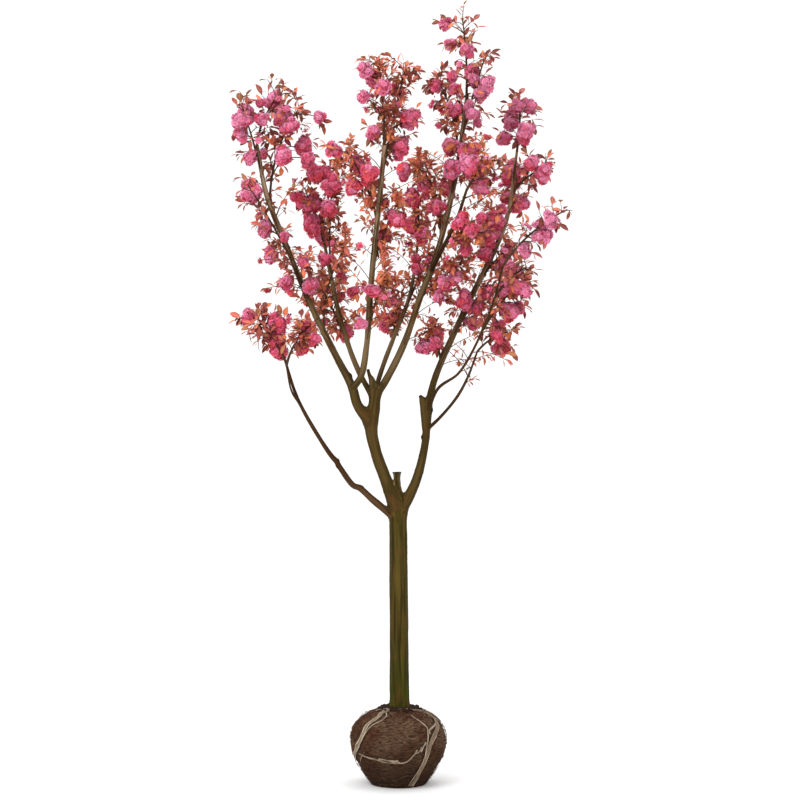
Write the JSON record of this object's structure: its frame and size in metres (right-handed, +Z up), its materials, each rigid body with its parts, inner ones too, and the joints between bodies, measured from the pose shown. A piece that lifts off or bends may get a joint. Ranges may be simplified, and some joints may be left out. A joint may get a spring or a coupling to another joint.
{
  "type": "flowering cherry tree on a root ball",
  "caption": "Young flowering cherry with a clear olive-brown trunk, pruned boughs and open sprays of double pink blossom and bronze leaves, standing on a root ball tied with bast.",
  "frame": {"origin": "centre of the root ball's flat underside, on the ground", "axes": "+Z up along the trunk, -Y towards the side the picture shows, +X to the right of that view"},
  "size_m": [1.7275, 1.3037, 4.0796],
  "materials": {
    "soil": "dark brown earth, matt and crumbly",
    "bast": "pale beige fibre strap, matt",
    "bark": "olive-brown bark, satin",
    "blossom": "soft pink petals and bronze leaves"
  },
  "bodies": {
    "root": {"bough_back_left": "bark", "bough_back_right": "bark", "bough_centre": "bark", "bough_crown": "bark", "bough_left": "bark", "bough_left_outer": "bark", "bough_low_left": "bark", "bough_right": "bark", "bough_right_front": "bark", "bough_right_low": "bark", "crown_side": "bark", "low_left_fork": "bark", "root_ball": "soil", "spray_back_left_low": "blossom", "spray_back_right_low": "blossom", "spray_back_right_mid": "blossom", "spray_back_right_top": "blossom", "spray_centre_left": "blossom", "spray_centre_low": "blossom", "spray_centre_mid": "blossom", "spray_centre_top": "blossom", "spray_centre_top_right": "blossom", "spray_crown_inner": "blossom", "spray_crown_low": "blossom", "spray_crown_mid": "blossom", "spray_crown_side_low": "blossom", "spray_crown_side_tip": "blossom", "spray_crown_top": "blossom", "spray_crown_top_left": "blossom", "spray_crown_top_right": "blossom", "spray_left_back": "blossom", "spray_left_flank": "blossom", "spray_left_inner": "blossom", "spray_left_low": "blossom", "spray_left_low_inner": "blossom", "spray_left_lower_inner": "blossom", "spray_left_mid": "blossom", "spray_left_shoulder": "blossom", "spray_left_top": "blossom", "spray_left_top_outer": "blossom", "spray_right_back": "blossom", "spray_right_fill": "blossom", "spray_right_inner": "blossom", "spray_right_low": "blossom", "spray_right_low_left": "blossom", "spray_right_mid": "blossom", "spray_right_outer": "blossom", "spray_right_outer_low": "blossom", "spray_right_tip": "blossom", "spray_right_top": "blossom", "spray_right_upper": "blossom", "strap_back_left": "bast", "strap_back_right": "bast", "strap_front": "bast", "strap_left": "bast", "strap_right": "bast", "strap_shoulder": "bast", "stub_hub": "bark", "stub_right": "bark", "trunk": "bark"}
  },
  "joints": []
}
